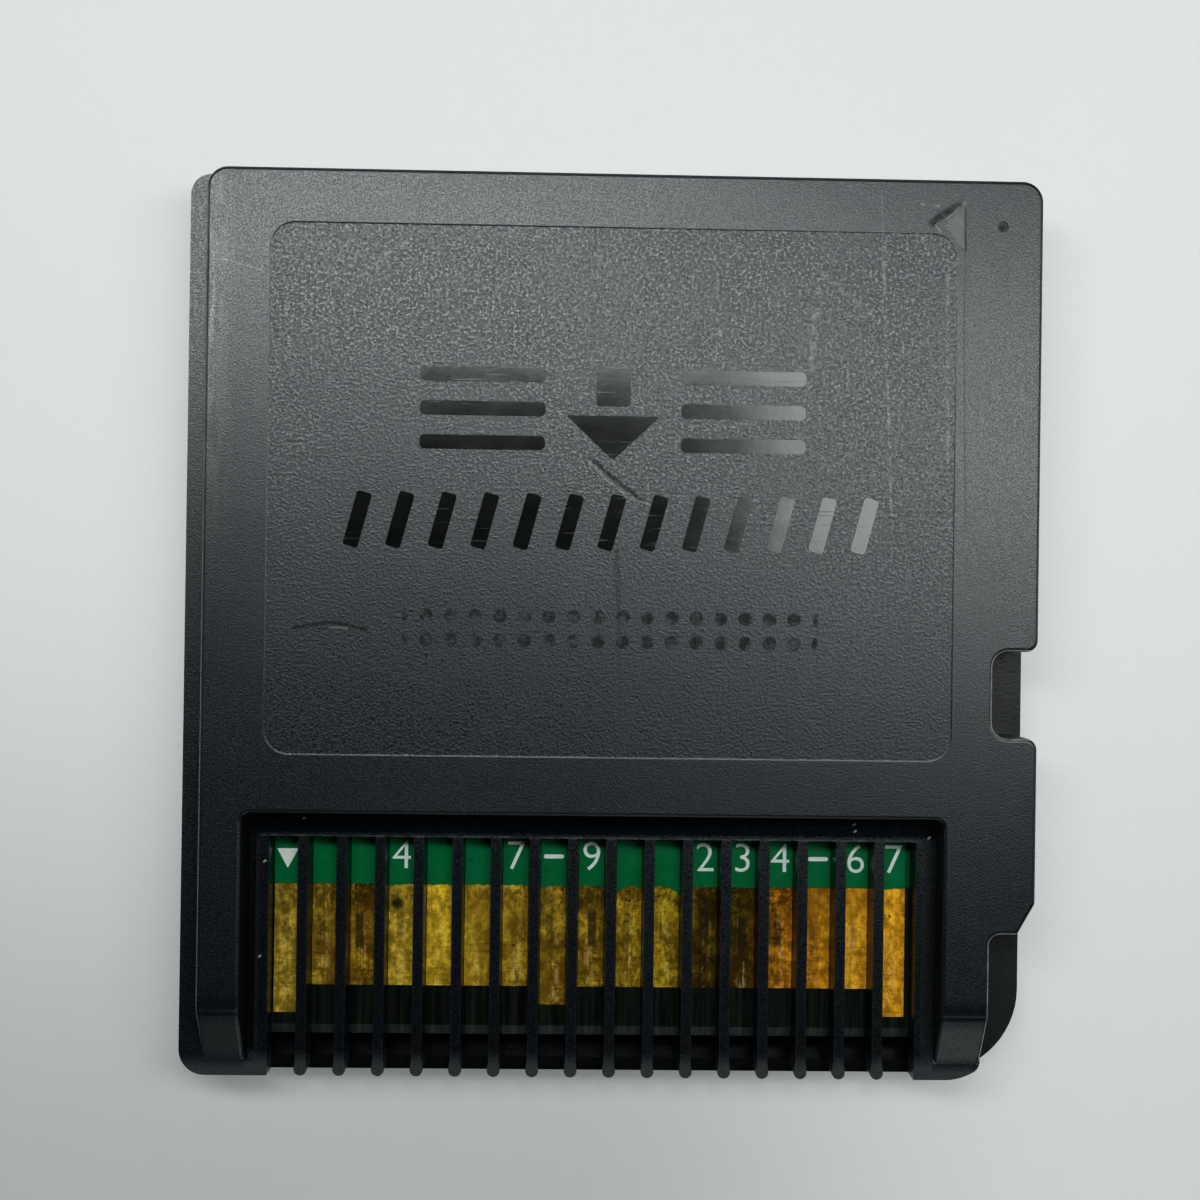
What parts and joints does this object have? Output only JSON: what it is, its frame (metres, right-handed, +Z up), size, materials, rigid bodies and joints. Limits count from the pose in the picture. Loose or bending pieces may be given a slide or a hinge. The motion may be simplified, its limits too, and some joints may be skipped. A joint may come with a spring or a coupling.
{
  "type": "game cartridge",
  "caption": "Small flat game card: two plastic shells round a circuit board, gold edge contacts in a ribbed comb, a side notch and a keyed corner.",
  "frame": {"origin": "middle of the card's outline, on the label face it lies on", "axes": "+X across the card to the notched side, +Y from the contact end to the grip end, +Z up, out of the contact side"},
  "size_m": [0.033, 0.035, 0.0038],
  "materials": {
    "shell_plastic": "fine matte grain, worn smooth at the edges",
    "board_laminate": "green solder mask over glass laminate",
    "contact_gold": "thin gold plate, wiped and stained",
    "chip_plastic": "moulded black resin",
    "lead_tin": "tinned",
    "capacitor_ceramic": "tan ceramic",
    "resistor_ceramic": "dark glazed ceramic"
  },
  "bodies": {
    "root": {"front_shell": "shell_plastic", "rear_shell": "shell_plastic", "circuit_board": "board_laminate", "contact_pad_01": "contact_gold", "contact_pad_02": "contact_gold", "contact_pad_03": "contact_gold", "contact_pad_04": "contact_gold", "contact_pad_05": "contact_gold", "contact_pad_06": "contact_gold", "contact_pad_07": "contact_gold", "contact_pad_08": "contact_gold", "contact_pad_09": "contact_gold", "contact_pad_10": "contact_gold", "contact_pad_11": "contact_gold", "contact_pad_12": "contact_gold", "contact_pad_13": "contact_gold", "contact_pad_14": "contact_gold", "contact_pad_15": "contact_gold", "contact_pad_16": "contact_gold", "contact_pad_17": "contact_gold", "rom_chip": "chip_plastic", "rom_leads": "lead_tin", "save_chip": "chip_plastic", "save_leads": "lead_tin", "capacitor_1": "capacitor_ceramic", "capacitor_2": "capacitor_ceramic", "capacitor_3": "capacitor_ceramic", "resistor_1": "resistor_ceramic", "resistor_2": "resistor_ceramic"}
  },
  "joints": []
}
